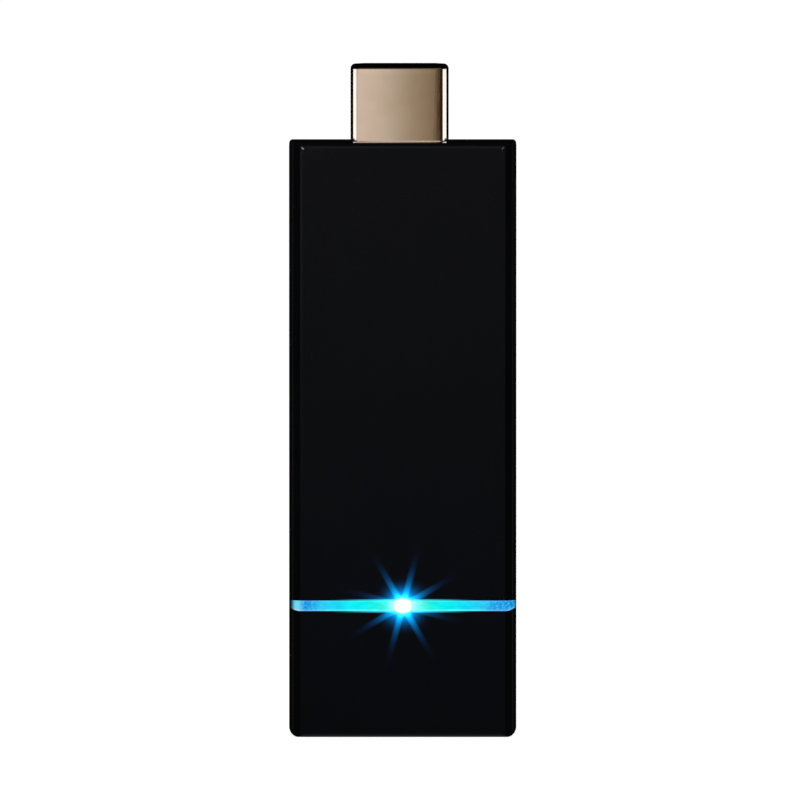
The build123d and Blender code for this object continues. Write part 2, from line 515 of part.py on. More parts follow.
caps = []
for x, z, face in (
    [(-9.0 + 2.0 * i, 60.2, -1) for i in range(7)]
    + [(8.0 + 1.6 * i, 49.4, -1) for i in range(3)]
    + [(-10.2, 42.0 + 1.9 * i, -1) for i in range(6)]
    + [(-10.6, 49.0, 1), (-10.6, 50.8, 1), (-10.6, 62.0, 1), (-10.6, 63.8, 1), (0.0, 48.0, 1), (2.0, 48.0, 1), (-2.0, 48.0, 1)]
    + [(-6.0 + 2.0 * i, 26.6, 1) for i in range(7)]
):
    caps.append(chip(x, z, 0.6, 1.2, 0.6, face))
write("ceramic_capacitors", group(caps))
res = []
for x, z, face in (
    [(-8.0 + 1.3 * i, 64.0, -1) for i in range(11)]
    + [(-5.0 + 1.3 * i, 22.9, 1) for i in range(8)]
    + [(6.6, 25.6, -1), (7.9, 25.6, -1), (6.6, 28.4, -1), (7.9, 28.4, -1), (5.0, 19.4, -1)]
):
    res.append(chip(x, z, 0.5, 1.0, 0.35, face))
write("chip_resistors", group(res))
write("surge_arrays", group([chip(PLUG_X + x, 71.4, 1.1, 2.5, 0.55, -1) for x in (-4.2, -1.4, 1.4, 4.2)]))

# ---------------------------------------------------------------- light source behind the bar
led = chip(0, BAR_Z, 2.0, 1.25, 0.35, -1) + chip(0, BAR_Z, 1.4, 1.2, 0.80, -1)
write("status_led", led)
gasket = block(-3.4, 3.4, RIB_Y, F, BAR_Z - 2.0, BAR_Z + 2.0) - block(
    -STEM_W / 2 - 0.1, STEM_W / 2 + 0.1, RIB_Y - 1, F + 1, BAR_Z0 - 0.1, BAR_Z1 + 0.1
)
write("light_gasket", gasket)

# ---------------------------------------------------------------- screws
screws = []
for x, z in SCREW_AT:
    shank = rod_y(x, z, 0.63, -3.2, B + 0.1)
    head = soften(rod_y(x, z, 1.5, B, B + 0.8), 0.25, lambda e: e.sort_by(Axis.Y)[-1:])
    cross = block(x - 0.75, x + 0.75, B + 0.35, B + 1, z - 0.15, z + 0.15) + block(
        x - 0.15, x + 0.15, B + 0.35, B + 1, z - 0.75, z + 0.75
    )
    screws.append(shank + head - cross)
write("board_screws", group(screws))

# ---------------------------------------------------------------- reset button and its switch
CAP_OUT = HW - 0.15
cap = along_x(Pos(BUTTON_Y, BUTTON_Z) * SlotOverall(BUTTON_L, BUTTON_H, rotation=90), IN_X - 0.3, CAP_OUT)
cap = soften(cap, 0.2, lambda e: e.group_by(Axis.X)[-1])
flange = along_x(Pos(BUTTON_Y, BUTTON_Z) * RectangleRounded(2.9, 6.4, 0.4), IN_X - 0.62, IN_X - 0.02)
SW_FACE, PLUNGER_TIP = 13.3, 13.85
nub = block(PLUNGER_TIP, IN_X - 0.5, BUTTON_Y - 0.5, BUTTON_Y + 0.5, BUTTON_Z - 1.1, BUTTON_Z + 1.1)
write("reset_button", cap + flange + nub)

SW_Y = (F - 1.6, F)                            # the switch's housing stands on the board's front face
SW_MID = -1.35
housing = block(10.3, SW_FACE, SW_Y[0], SW_Y[1], BUTTON_Z - 2.3, BUTTON_Z + 2.3)
housing -= block(10.9, 12.9, SW_Y[0] - 1, -0.72, BUTTON_Z - 1.9, BUTTON_Z + 1.9)          # open at the front, under the plate
housing -= block(12.8, SW_FACE + 1, SW_Y[0] - 1, -0.72, BUTTON_Z - 1.05, BUTTON_Z + 1.05)  # where the plunger comes out
write("switch_housing", housing)
plate2 = block(10.3, SW_FACE, SW_Y[0] - 0.15, SW_Y[0], BUTTON_Z - 2.3, BUTTON_Z + 2.3)
for s in (-1, 1):
    z0, z1 = sorted((BUTTON_Z + s * 2.3, BUTTON_Z + s * 2.45))
    plate2 += block(10.9, 12.7, SW_Y[0] - 0.15, F, z0, z1)
write("switch_plate", plate2)
plunger = block(11.95, PLUNGER_TIP, -1.95, -0.82, BUTTON_Z - 0.95, BUTTON_Z + 0.95)
plunger += block(12.05, 12.55, -1.95, -0.82, BUTTON_Z - 1.6, BUTTON_Z + 1.6)
write("switch_plunger", plunger)
# the snap spring: a thin bowed strip between the housing's back wall and the plunger
bow = []
for k in range(9):
    t = -1 + 2 * k / 8
    bow.append((11.07 + 0.80 * (1 - t * t), BUTTON_Z + 1.7 * t))
spring = ribbon(bow, 0.12)
write("switch_spring", along_y(spring, -1.8, -0.95))
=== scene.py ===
"""Wireless display dongle: finishes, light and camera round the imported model. Lengths are in metres unless a name says mm."""
import math

import bpy
from mathutils import Matrix, Vector

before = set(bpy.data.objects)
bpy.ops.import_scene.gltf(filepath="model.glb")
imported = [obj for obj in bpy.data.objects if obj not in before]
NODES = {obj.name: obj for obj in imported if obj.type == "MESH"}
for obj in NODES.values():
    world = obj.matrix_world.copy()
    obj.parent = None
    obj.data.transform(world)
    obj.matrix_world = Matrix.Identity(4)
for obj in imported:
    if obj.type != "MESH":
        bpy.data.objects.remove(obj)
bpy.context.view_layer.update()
scene = bpy.context.scene

# ---------------------------------------------------------------- camera: about 3.5 degrees above level, straight on, from far away
ELEVATION = math.radians(3.5)
DISTANCE = 3.781
AIM = Vector((-0.000384, 0.0, 0.047528))
cam_data = bpy.data.cameras.new("camera")
cam_data.type = "PERSP"
cam_data.sensor_width = 36.0
cam_data.lens = 1200.0
cam_data.clip_start, cam_data.clip_end = 0.05, 60.0
camera = bpy.data.objects.new("camera", cam_data)
scene.collection.objects.link(camera)
back = Vector((0.0, -math.cos(ELEVATION), math.sin(ELEVATION)))
camera.location = AIM + back * DISTANCE
camera.rotation_euler = (-back).to_track_quat("-Z", "Y").to_euler()
scene.camera = camera

scene.view_settings.view_transform = "Standard"
scene.view_settings.look = "None"
scene.view_settings.exposure = 0.0
scene.view_settings.gamma = 1.0
scene.cycles.max_bounces = 10
scene.cycles.glossy_bounces = 6
scene.cycles.transmission_bounces = 8


# ---------------------------------------------------------------- node helpers
class Tree:
    """A few short words for building a material's nodes."""

    def __init__(self, name):
        self.mat = bpy.data.materials.new(name)
        self.mat.use_nodes = True
        self.t = self.mat.node_tree
        self.t.nodes.clear()
        self.out = self.t.nodes.new("ShaderNodeOutputMaterial")
        self.bsdf = self.t.nodes.new("ShaderNodeBsdfPrincipled")
        self.t.links.new(self.bsdf.outputs["BSDF"], self.out.inputs["Surface"])
        self._mm = None

    def new(self, kind, **props):
        n = self.t.nodes.new("ShaderNode" + kind)
        for k, v in props.items():
            setattr(n, k, v)
        return n

    def put(self, socket, value):
        """value is another socket, a number or a tuple."""
        if hasattr(value, "is_linked"):
            self.t.links.new(value, socket)
        else:
            socket.default_value = value

    def mm(self, sx=1.0, sy=1.0, sz=1.0):
        """The point in millimetres, stretched along each axis."""
        c = self.new("TexCoord")
        m = self.new("Mapping")
        m.inputs["Scale"].default_value = (1000 * sx, 1000 * sy, 1000 * sz)
        self.t.links.new(c.outputs["Object"], m.inputs["Vector"])
        return m.outputs["Vector"]

    def axes(self):
        s = self.new("SeparateXYZ")
        self.t.links.new(self.mm(), s.inputs[0])
        return s.outputs["X"], s.outputs["Y"], s.outputs["Z"]

    def noise(self, scale, detail=3.0, rough=0.5, vec=None, distort=0.0):
        n = self.new("TexNoise")
        self.put(n.inputs["Vector"], vec if vec is not None else self.mm())
        n.inputs["Scale"].default_value = scale
        n.inputs["Detail"].default_value = detail
        n.inputs["Roughness"].default_value = rough
        n.inputs["Distortion"].default_value = distort
        return n.outputs["Fac"]

    def voronoi(self, scale, vec=None, feature="F1", randomness=1.0):
        n = self.new("TexVoronoi", feature=feature)
        self.put(n.inputs["Vector"], vec if vec is not None else self.mm())
        n.inputs["Scale"].default_value = scale
        n.inputs["Randomness"].default_value = randomness
        return n

    def math(self, op, a, b=0.0, c=None, clamp=False):
        n = self.new("Math", operation=op, use_clamp=clamp)
        self.put(n.inputs[0], a)
        self.put(n.inputs[1], b)
        if c is not None:
            self.put(n.inputs[2], c)
        return n.outputs[0]

    def ramp(self, fac, lo, hi, a=0.0, b=1.0, smooth=True):
        """fac from lo to hi becomes a to b."""
        n = self.new("MapRange", interpolation_type="SMOOTHSTEP" if smooth else "LINEAR")
        self.put(n.inputs["Value"], fac)
        for k, v in zip(("From Min", "From Max", "To Min", "To Max"), (lo, hi, a, b)):
            n.inputs[k].default_value = v
        return n.outputs["Result"]

    def mix(self, fac, a, b):
        n = self.new("Mix", data_type="RGBA")
        self.put(n.inputs[0], fac)
        self.put(n.inputs[6], a if hasattr(a, "is_linked") else (*a, 1.0))
        self.put(n.inputs[7], b if hasattr(b, "is_linked") else (*b, 1.0))
        return n.outputs[2]

    def bump(self, height, strength, distance_mm, normal=None):
        n = self.new("Bump")
        n.inputs["Strength"].default_value = strength
        n.inputs["Distance"].default_value = distance_mm / 1000
        self.put(n.inputs["Height"], height)
        if normal is not None:
            self.put(n.inputs["Normal"], normal)
        return n.outputs["Normal"]

    def set(self, **inputs):
        names = {"color": "Base Color", "rough": "Roughness", "metal": "Metallic", "normal": "Normal", "ior": "IOR",
                 "coat": "Coat Weight", "coat_rough": "Coat Roughness", "emit": "Emission Color", "power": "Emission Strength",
                 "trans": "Transmission Weight", "alpha": "Alpha", "spec": "Specular IOR Level", "aniso": "Anisotropic"}
        for k, v in inputs.items():
            s = self.bsdf.inputs[names[k]]
            if isinstance(v, tuple) and len(v) == 3:
                v = (*v, 1.0)
            self.put(s, v)
        return self


def dress(tree, *nodes):
    for n in nodes:
        o = NODES[n]
        o.data.materials.clear()
        o.data.materials.append(tree.mat)


# ---------------------------------------------------------------- the case
def gloss_black(name, tone=(0.0050, 0.0053, 0.0062), rough=0.10):
    """Polished black moulding: hair scuffs, a trace of finger bloom, a faint ripple of the moulding, and a painted glow
    on the groove's lips beside the lit bar.
    """
    t = Tree(name)
    bloom = t.noise(0.09, 4.0, 0.55)
    fine = t.noise(1.7, 2.0, 0.5)
    hair_a = t.noise(1.0, 1.0, 0.5, vec=t.mm(14.0, 14.0, 0.25))
    hair_b = t.noise(1.0, 1.0, 0.5, vec=t.mm(0.30, 11.0, 11.0))
    hair = t.math("MAXIMUM", t.ramp(hair_a, 0.70, 0.78), t.ramp(hair_b, 0.715, 0.78))
    base = t.mix(bloom, tone, tuple(c * 1.5 for c in tone))
    r = t.math("ADD", t.ramp(bloom, 0.30, 0.75, rough - 0.02, rough + 0.04), t.math("MULTIPLY", hair, 0.08))
    ripple = t.bump(t.noise(0.16, 1.0, 0.4), 0.10, 0.05)
    t.set(color=base, rough=r, ior=1.49, normal=t.bump(t.math("ADD", fine, t.math("MULTIPLY", hair, 0.6)), 0.05, 0.01, ripple))
    # painted glow on the case: the groove's lips emit light of their own, white over the diode, cyan and fading along
    # the bar, standing in for the bar's light falling on them
    x, y, z = t.axes()
    dx, dz = t.math("SUBTRACT", x, 0.02), t.math("SUBTRACT", z, 18.65)
    u, v = t.math("DIVIDE", dx, 1.42), t.math("DIVIDE", dz, 1.17)
    d = t.math("SQRT", t.math("ADD", t.math("MULTIPLY", u, u), t.math("MULTIPLY", v, v)))
    over = t.ramp(d, 1.12, 0.80)
    along = t.math("MULTIPLY", t.ramp(t.math("ABSOLUTE", dx), 10.5, 1.5, 0.0, 0.85), t.ramp(t.math("ABSOLUTE", dz), 1.00, 0.84))
    power = t.math("MULTIPLY", t.math("MAXIMUM", over, along), t.ramp(y, -4.4, -5.0))
    t.set(emit=t.mix(over, (0.03, 0.72, 0.86), (0.62, 1.0, 1.0)), power=power)
    return t


def satin_black(name, tone=(0.0060, 0.0062, 0.0070), rough=0.40, grain=5.5):
    """Spark-textured black moulding, its tone and roughness varying in soft clouds."""
    t = Tree(name)
    pits = t.voronoi(grain, feature="SMOOTH_F1").outputs["Distance"]
    cloud = t.noise(0.13, 4.0, 0.6)
    base = t.mix(cloud, tone, tuple(c * 1.6 for c in tone))
    r = t.ramp(cloud, 0.30, 0.72, rough - 0.05, rough + 0.07)
    h = t.math("ADD", pits, t.noise(grain * 2.4, 2.0, 0.6))
    t.set(color=base, rough=r, ior=1.49, normal=t.bump(h, 0.35, 0.02))
    return t


dress(gloss_black("case_gloss"), "front_shell")
dress(satin_black("case_satin"), "back_cover")
dress(satin_black("button_satin", tone=(0.012, 0.012, 0.013), rough=0.36, grain=9.0), "reset_button")


# ---------------------------------------------------------------- the lit bar
def lit_bar():
    t = Tree("light_bar")
    x, y, z = t.axes()
    ax = t.math("ABSOLUTE", x)
    # colour along the bar, from the diode outwards: mint, cyan, azure, blue
    ramp = t.new("ValToRGB")
    t.put(ramp.inputs["Fac"], t.math("DIVIDE", ax, 16.1, clamp=True))
    cr = ramp.color_ramp
    cr.interpolation = "EASE"
    stops = [(0.0, (0.60, 0.90, 0.62)), (1.4, (0.30, 0.84, 0.34)), (2.4, (0.050, 0.80, 0.50)), (4.0, (0.010, 0.86, 0.76)),
             (6.3, (0.003, 0.86, 0.88)), (9.0, (0.008, 0.70, 0.90)), (11.5, (0.018, 0.585, 0.91)), (13.1, (0.014, 0.33, 0.80)),
             (15.0, (0.004, 0.27, 0.70)), (16.1, (0.008, 0.24, 0.52))]
    while len(cr.elements) < len(stops):
        cr.elements.new(0.5)
    for e, (p, c) in zip(cr.elements, stops):
        e.position, e.color = p / 16.1, (*c, 1.0)
    # light scatters in small dots towards both ends, where the bar's back is grained
    dots = t.voronoi(2.6, vec=t.mm(1.0, 1.0, 1.0)).outputs["Distance"]
    near_end = t.ramp(ax, 9.0, 13.0)
    speck = t.math("MULTIPLY", t.ramp(dots, 0.60, 0.18), near_end)
    streaky = t.noise(1.3, 2.0, 0.5, vec=t.mm(0.55, 0.55, 1.6))
    fade = t.ramp(x, 4.9, 2.2)                     # the mint reaches farther on the right of the diode
    right = t.math("MULTIPLY", t.math("MULTIPLY", fade, fade), t.ramp(x, 1.0, 1.8, 0.0, 0.33))
    c0 = t.mix(right, ramp.outputs["Color"], (0.32, 0.85, 0.74))
    c1 = t.mix(t.math("MULTIPLY", speck, 0.74), c0, (0.075, 0.60, 1.0))
    # the lower and the upper edge of the bar glow paler than its middle
    bend = t.math("MAXIMUM", t.math("SUBTRACT", ax, 14.5), 0.0)
    rise = t.math("MULTIPLY", t.math("MULTIPLY", bend, bend), 0.225)
    low = t.ramp(t.math("SUBTRACT", z, rise), 18.26, 18.04)
    high = t.math("MULTIPLY", t.ramp(z, 19.12, 19.32), 0.35)
    edge = t.math("MULTIPLY", t.math("ADD", low, high), 0.55)
    c2 = t.mix(edge, c1, t.mix(t.ramp(ax, 10.5, 12.5), (0.16, 0.86, 1.0), (0.20, 0.52, 0.97)))
    # a paler patch at the left end, just before it turns the corner
    patch = t.math("MULTIPLY", t.ramp(x, -13.8, -14.9), t.ramp(x, -16.05, -15.3))
    c3 = t.mix(t.math("MULTIPLY", patch, 0.85), c2, t.mix(low, (0.19, 0.74, 0.97), (0.40, 0.66, 0.84)))
    # strength: even along the front, falling away round the corners
    ends = t.math("MULTIPLY", t.ramp(x, -15.90, -15.10, 0.05, 1.0), t.ramp(x, 16.12, 15.72, 0.16, 1.0))
    turn = t.math("MULTIPLY", ends, t.ramp(y, -1.0, -5.0, 0.25, 1.0))
    wobble = t.ramp(streaky, 0.25, 0.75, 0.90, 1.08)
    heat = t.math("ADD", t.ramp(ax, 14.0, 8.0, 1.0, 1.04), t.ramp(ax, 3.0, 1.5, 0.0, 0.3))   # hotter near the diode
    strength = t.math("MULTIPLY", t.math("MULTIPLY", turn, wobble), heat)
    # over the diode: a white disc with a far hotter core
    dx = t.math("SUBTRACT", x, 0.02)
    dz = t.math("SUBTRACT", z, 18.65)
    front = t.ramp(y, -5.2, -5.4)

    def spot(rx, rz):
        u, v = t.math("DIVIDE", dx, rx), t.math("DIVIDE", dz, rz)
        d = t.math("SQRT", t.math("ADD", t.math("MULTIPLY", u, u), t.math("MULTIPLY", v, v)))
        return t.math("MULTIPLY", t.ramp(d, 1.25, 0.75), front)

    disc, core = spot(DISC[0], DISC[1]), spot(CORE[0], CORE[0])
    c4 = t.mix(disc, c3, (1.0, 1.0, 0.97))
    strength = t.math("ADD", strength, t.math("ADD", t.math("MULTIPLY", disc, DISC[2]), t.math("MULTIPLY", core, CORE[1])))
    t.set(color=(0.002, 0.006, 0.008), rough=0.14, ior=1.49, emit=c4, power=strength,
          normal=t.bump(t.noise(2.2, 2.0), 0.08, 0.02))
    return t


DISC = (1.08, 1.07, 2.0)   # half width, half height in mm, strength
CORE = (0.48, 32.0)        # radius in mm, strength
dress(lit_bar(), "light_guide")


# ---------------------------------------------------------------- metals
def plated(name, tone, warm, rough=0.16, brush=(0.35, 9.0, 9.0), crown=0.0):
    """Plated sheet: fine drawing lines, faint handling marks, and a slightly crowned face where asked."""
    t = Tree(name)
    lines = t.noise(1.0, 2.0, 0.6, vec=t.mm(*brush))
    cloud = t.noise(0.35, 3.0, 0.55)
    rub = t.ramp(t.noise(1.2, 3.0, 0.6), 0.60, 0.78)
    base = t.mix(t.ramp(cloud, 0.35, 0.70), tone, warm)
    r = t.math("ADD", t.ramp(lines, 0.30, 0.72, rough - 0.02, rough + 0.05), t.math("MULTIPLY", rub, 0.05))
    normal = None
    if crown:
        x, _, _ = t.axes()
        normal = t.bump(t.math("MULTIPLY", t.math("MULTIPLY", x, x), -crown), 1.0, 1.0)
    t.set(color=base, rough=r, metal=1.0, normal=t.bump(lines, 0.06, 0.01, normal))
    return t


dress(plated("gold_plate", (0.80, 0.60, 0.42), (0.77, 0.57, 0.39), rough=0.06, brush=(7.0, 7.0, 0.4)), "plug_shell")
dress(plated("contact_gold", (0.93, 0.66, 0.28), (0.85, 0.56, 0.20), rough=0.18, brush=(9.0, 9.0, 0.6)),
      "plug_contacts_front_row", "plug_contacts_back_row", "inlet_contacts", "antenna_test_sockets")
dress(plated("inlet_steel", (0.62, 0.61, 0.58), (0.52, 0.51, 0.48), rough=0.24, brush=(9.0, 9.0, 0.5)), "inlet_shell")
dress(plated("tin_sheet", (0.66, 0.66, 0.64), (0.56, 0.56, 0.54), rough=0.30, brush=(0.4, 6.0, 6.0)),
      "shield_fence", "shield_lid", "radio_can")
dress(plated("crystal_lid", (0.70, 0.66, 0.56), (0.62, 0.58, 0.48), rough=0.22, brush=(6.0, 6.0, 0.5)), "crystals")
dress(plated("spreader_aluminium", (0.78, 0.79, 0.80), (0.70, 0.71, 0.72), rough=0.34, brush=(7.0, 7.0, 0.25)), "heat_spreader")
dress(plated("antenna_bronze", (0.72, 0.63, 0.46), (0.62, 0.53, 0.38), rough=0.28, brush=(0.5, 6.0, 6.0)),
      "antenna_main", "antenna_diversity")
dress(plated("black_zinc", (0.16, 0.16, 0.17), (0.10, 0.10, 0.11), rough=0.34, brush=(5.0, 5.0, 5.0)), "board_screws")
dress(plated("spring_steel", (0.60, 0.60, 0.58), (0.48, 0.48, 0.46), rough=0.26, brush=(5.0, 5.0, 0.6)), "switch_plate", "switch_spring")


# ---------------------------------------------------------------- mouldings, boards and chips inside
def moulding(name, tone, rough, grain=8.0, strength=0.22, vary=1.35):
    t = Tree(name)
    g = t.noise(grain, 3.0, 0.6)
    cloud = t.noise(0.5, 3.0, 0.5)
    t.set(color=t.mix(cloud, tone, tuple(min(1.0, c * vary) for c in tone)), rough=t.ramp(g, 0.3, 0.7, rough - 0.06, rough + 0.06),
          normal=t.bump(g, strength, 0.01))
    return t


dress(moulding("plug_plastic", (0.010, 0.010, 0.011), 0.48), "plug_insulator")
dress(moulding("inlet_plastic", (0.014, 0.014, 0.014), 0.50), "inlet_insulator")
dress(moulding("switch_plastic", (0.016, 0.016, 0.017), 0.46), "switch_housing")
dress(moulding("plunger_plastic", (0.70, 0.68, 0.62), 0.42, vary=0.9), "switch_plunger")
dress(moulding("foam", (0.020, 0.020, 0.021), 0.92, grain=5.0, strength=0.9), "light_gasket", "foam_pad")
dress(moulding("thermal_silicone", (0.30, 0.36, 0.43), 0.70, grain=4.0, strength=0.4), "thermal_pad_chip", "thermal_pad_spreader")
dress(moulding("polymer_fuse", (0.03, 0.16, 0.06), 0.45), "input_fuse")
dress(moulding("tantalum", (0.46, 0.26, 0.04), 0.42), "bulk_capacitors")
dress(moulding("ferrite", (0.045, 0.045, 0.050), 0.55, grain=10.0, strength=0.5), "power_inductors")


def solder_mask(name, tone, track):
    """Solder mask over copper: broad tracks show through as a slightly paler, raised pattern."""
    t = Tree(name)
    cells = t.voronoi(0.55, feature="DISTANCE_TO_EDGE", randomness=0.35).outputs["Distance"]
    copper = t.ramp(cells, 0.10, 0.13, 1.0, 0.0)
    weave = t.noise(6.0, 2.0, 0.5)
    t.set(color=t.mix(copper, tone, track), rough=t.ramp(weave, 0.3, 0.7, 0.24, 0.36),
          normal=t.bump(t.math("ADD", t.math("MULTIPLY", copper, 0.6), t.math("MULTIPLY", weave, 0.3)), 0.35, 0.03))
    return t


dress(solder_mask("board_mask", (0.004, 0.022, 0.012), (0.008, 0.045, 0.022)), "main_board")
dress(solder_mask("radio_mask", (0.004, 0.010, 0.035), (0.008, 0.020, 0.065)), "radio_board")
dress(moulding("chip_epoxy", (0.015, 0.015, 0.016), 0.52, grain=9.0, strength=0.4),
      "system_chip", "memory_chips", "flash_chip", "power_chip", "radio_chip", "surge_diode", "surge_arrays")


def chip_part(name, body):
    """Chip parts: a mottled ceramic body."""
    t = Tree(name)
    g = t.noise(7.0, 2.0, 0.5)
    t.set(color=t.mix(g, body, tuple(c * 0.75 for c in body)), rough=t.ramp(g, 0.3, 0.7, 0.36, 0.50), normal=t.bump(g, 0.25, 0.01))
    return t


dress(chip_part("capacitor_body", (0.40, 0.27, 0.15)), "ceramic_capacitors")
dress(chip_part("resistor_body", (0.020, 0.021, 0.024)), "chip_resistors")


def diode():
    t = Tree("diode")
    g = t.noise(5.0, 2.0, 0.5)
    t.set(color=t.mix(g, (0.80, 0.86, 0.88), (0.65, 0.75, 0.80)), rough=t.ramp(g, 0.3, 0.7, 0.25, 0.40),
          emit=(0.45, 0.85, 1.0), power=2.0)
    return t


dress(diode(), "status_led")

# ---------------------------------------------------------------- floor, studio light and background
floor_mesh = bpy.data.meshes.new("floor")
S = 40.0
floor_mesh.from_pydata([(-S, -S, 0), (S, -S, 0), (S, S, 0), (-S, S, 0)], [], [(0, 1, 2, 3)])
floor = bpy.data.objects.new("floor", floor_mesh)
scene.collection.objects.link(floor)
floor.location.z = -0.00002
ft = Tree("floor_white")
ft.set(color=(0.86, 0.86, 0.86), rough=0.9, spec=0.1, emit=(1.0, 1.0, 1.0), power=0.90)
floor_mesh.materials.append(ft.mat)
floor.visible_glossy = False
floor.visible_diffuse = False
floor.visible_shadow = False

world = bpy.data.worlds.new("studio")
scene.world = world
world.use_nodes = True


class Graph:
    """The same few words for a world's or a light's nodes."""

    def __init__(self, tree):
        self.t = tree
        self.t.nodes.clear()

    def new(self, kind, **props):
        n = self.t.nodes.new("ShaderNode" + kind)
        for k, v in props.items():
            setattr(n, k, v)
        return n

    def put(self, socket, value):
        if hasattr(value, "is_linked"):
            self.t.links.new(value, socket)
        else:
            socket.default_value = value

    def math(self, op, a, b=0.0, clamp=False):
        n = self.new("Math", operation=op, use_clamp=clamp)
        self.put(n.inputs[0], a)
        self.put(n.inputs[1], b)
        return n.outputs[0]

    def ramp(self, fac, lo, hi, a=0.0, b=1.0, smooth=True):
        n = self.new("MapRange", interpolation_type="SMOOTHSTEP" if smooth else "LINEAR")
        self.put(n.inputs["Value"], fac)
        for k, v in zip(("From Min", "From Max", "To Min", "To Max"), (lo, hi, a, b)):
            n.inputs[k].default_value = v
        return n.outputs["Result"]

    def box(self, value, lo0, lo1, hi1, hi0):
        """1 between lo1 and hi1, falling to 0 at lo0 and hi0."""
        return self.math("MULTIPLY", self.ramp(value, lo0, lo1), self.ramp(value, hi0, hi1))

    def times(self, *values):
        out = values[0]
        for v in values[1:]:
            out = self.math("MULTIPLY", out, v)
        return out

    def total(self, *values):
        out = values[0]
        for v in values[1:]:
            out = self.math("ADD", out, v)
        return out


w = Graph(world.node_tree)
coord = w.new("TexCoord")
sep = w.new("SeparateXYZ")
w.t.links.new(coord.outputs["Generated"], sep.inputs[0])
X, Y, Z = sep.outputs["X"], sep.outputs["Y"], sep.outputs["Z"]
DEG = 180 / math.pi
el = w.math("MULTIPLY", w.math("ARCSINE", Z), DEG)                                # elevation, degrees
az = w.math("MULTIPLY", w.math("ARCTAN2", X, w.math("MULTIPLY", Y, -1.0)), DEG)   # 0 in front, + to the right
abs_az = w.math("ABSOLUTE", az)

# what polished surfaces mirror: a dark room with a paler ground some way below the horizon
top_line = w.times(w.box(el, 8.5, 11.0, 15.0, 18.0), w.box(abs_az, -2.0, -1.0, 10.0, 16.0), 0.19)
ground = w.times(w.ramp(el, -13.0, -34.0), w.ramp(abs_az, 150.0, 20.0, 0.26, 0.50))
around = w.times(w.ramp(el, -7.5, -13.0), w.ramp(abs_az, 26.0, 42.0, 0.0, 0.24))     # nearer ground at the sides and the back
mirror = w.total(top_line, w.math("MAXIMUM", ground, around), 0.0008)

path = w.new("LightPath")
shades = []
for colour, strength in (((1.0, 1.0, 1.0, 1.0), 0.16), ((1.0, 1.0, 1.0, 1.0), 1.05), ((0.96, 0.98, 1.0, 1.0), mirror)):
    b = w.new("Background")
    b.inputs["Color"].default_value = colour
    w.put(b.inputs["Strength"], strength)
    shades.append(b.outputs[0])
seen, whole = w.new("MixShader"), w.new("MixShader")
w.put(seen.inputs["Fac"], path.outputs["Is Camera Ray"])
w.put(seen.inputs[1], shades[0])
w.put(seen.inputs[2], shades[1])
w.put(whole.inputs["Fac"], path.outputs["Is Glossy Ray"])
w.put(whole.inputs[1], seen.outputs[0])
w.put(whole.inputs[2], shades[2])
wout = w.new("OutputWorld")
w.put(wout.inputs["Surface"], whole.outputs[0])


def area(name, at, to, size, radiance, color=(1, 1, 1), size_y=None, only=None, glossy=True, nodes=None):
    """An area light of an even radiance, or of the strength and colour that nodes(graph, x, y, z in mm) gives."""
    data = bpy.data.lights.new(name, "AREA")
    data.shape = "RECTANGLE"
    data.size = size
    data.size_y = size_y or size
    data.energy = radiance * math.pi * size * data.size_y
    data.color = color
    o = bpy.data.objects.new(name, data)
    scene.collection.objects.link(o)
    o.location = at
    facing = (Vector(at) - Vector(to)).normalized()
    up = Vector((0, 0, 1)) if abs(facing.z) < 0.9 else Vector((0, 1, 0))
    across = up.cross(facing).normalized()
    o.rotation_euler = Matrix((across, facing.cross(across), facing)).transposed().to_euler()   # size lies across, size_y along up
    o.visible_camera = False
    o.visible_glossy = glossy
    if nodes:
        data.use_nodes = True
        g = Graph(data.node_tree)
        geo, axes = g.new("NewGeometry"), g.new("SeparateXYZ")
        g.put(axes.inputs[0], geo.outputs["Position"])
        emission, out = g.new("Emission"), g.new("OutputLight")
        strength, tone = nodes(g, *[g.math("MULTIPLY", axes.outputs[k], 1000.0) for k in "XYZ"])
        g.put(emission.inputs["Strength"], strength)
        if tone is not None:
            g.put(emission.inputs["Color"], tone)
        g.put(out.inputs["Surface"], emission.outputs[0])
    if only:
        group = bpy.data.collections.new(name + "_receivers")
        for n in only:
            group.objects.link(n if hasattr(n, "location") else NODES[n])
        o.light_linking.receiver_collection = group
    return o


# a soft panel high at each side for everything but the plug, which has its own below
BESIDE_PLUG = [n for n in NODES if n != "plug_shell"]
area("panel_left", (-0.42, 0.01, 0.50), (0.0, 0.0, 0.045), 0.62, 1.3, size_y=0.42, only=BESIDE_PLUG)
area("panel_right", (0.42, 0.01, 0.50), (0.0, 0.0, 0.045), 0.62, 1.0, size_y=0.42, only=BESIDE_PLUG)

# straight off each side: a far strip for the flat of the polished side, a broad panel for the satin parts
SATIN = ["back_cover", "reset_button"]
for side, name in ((-1, "left"), (1, "right")):
    area("strip_" + name, (side * 0.30, -0.0012, 0.020), (0.0, -0.0012, 0.020), 0.013, 0.46, size_y=0.150, only=["front_shell"])
    area("satin_" + name, (side * 0.30, 0.03, -0.02), (0.0, 0.0, 0.040), 0.26, 0.75, size_y=0.26, only=SATIN)

# one soft overhead light for the floor
area("overhead", (0.05, -0.10, 0.9), (0, 0, 0.04), 0.7, 0.5, only=[floor], glossy=False)


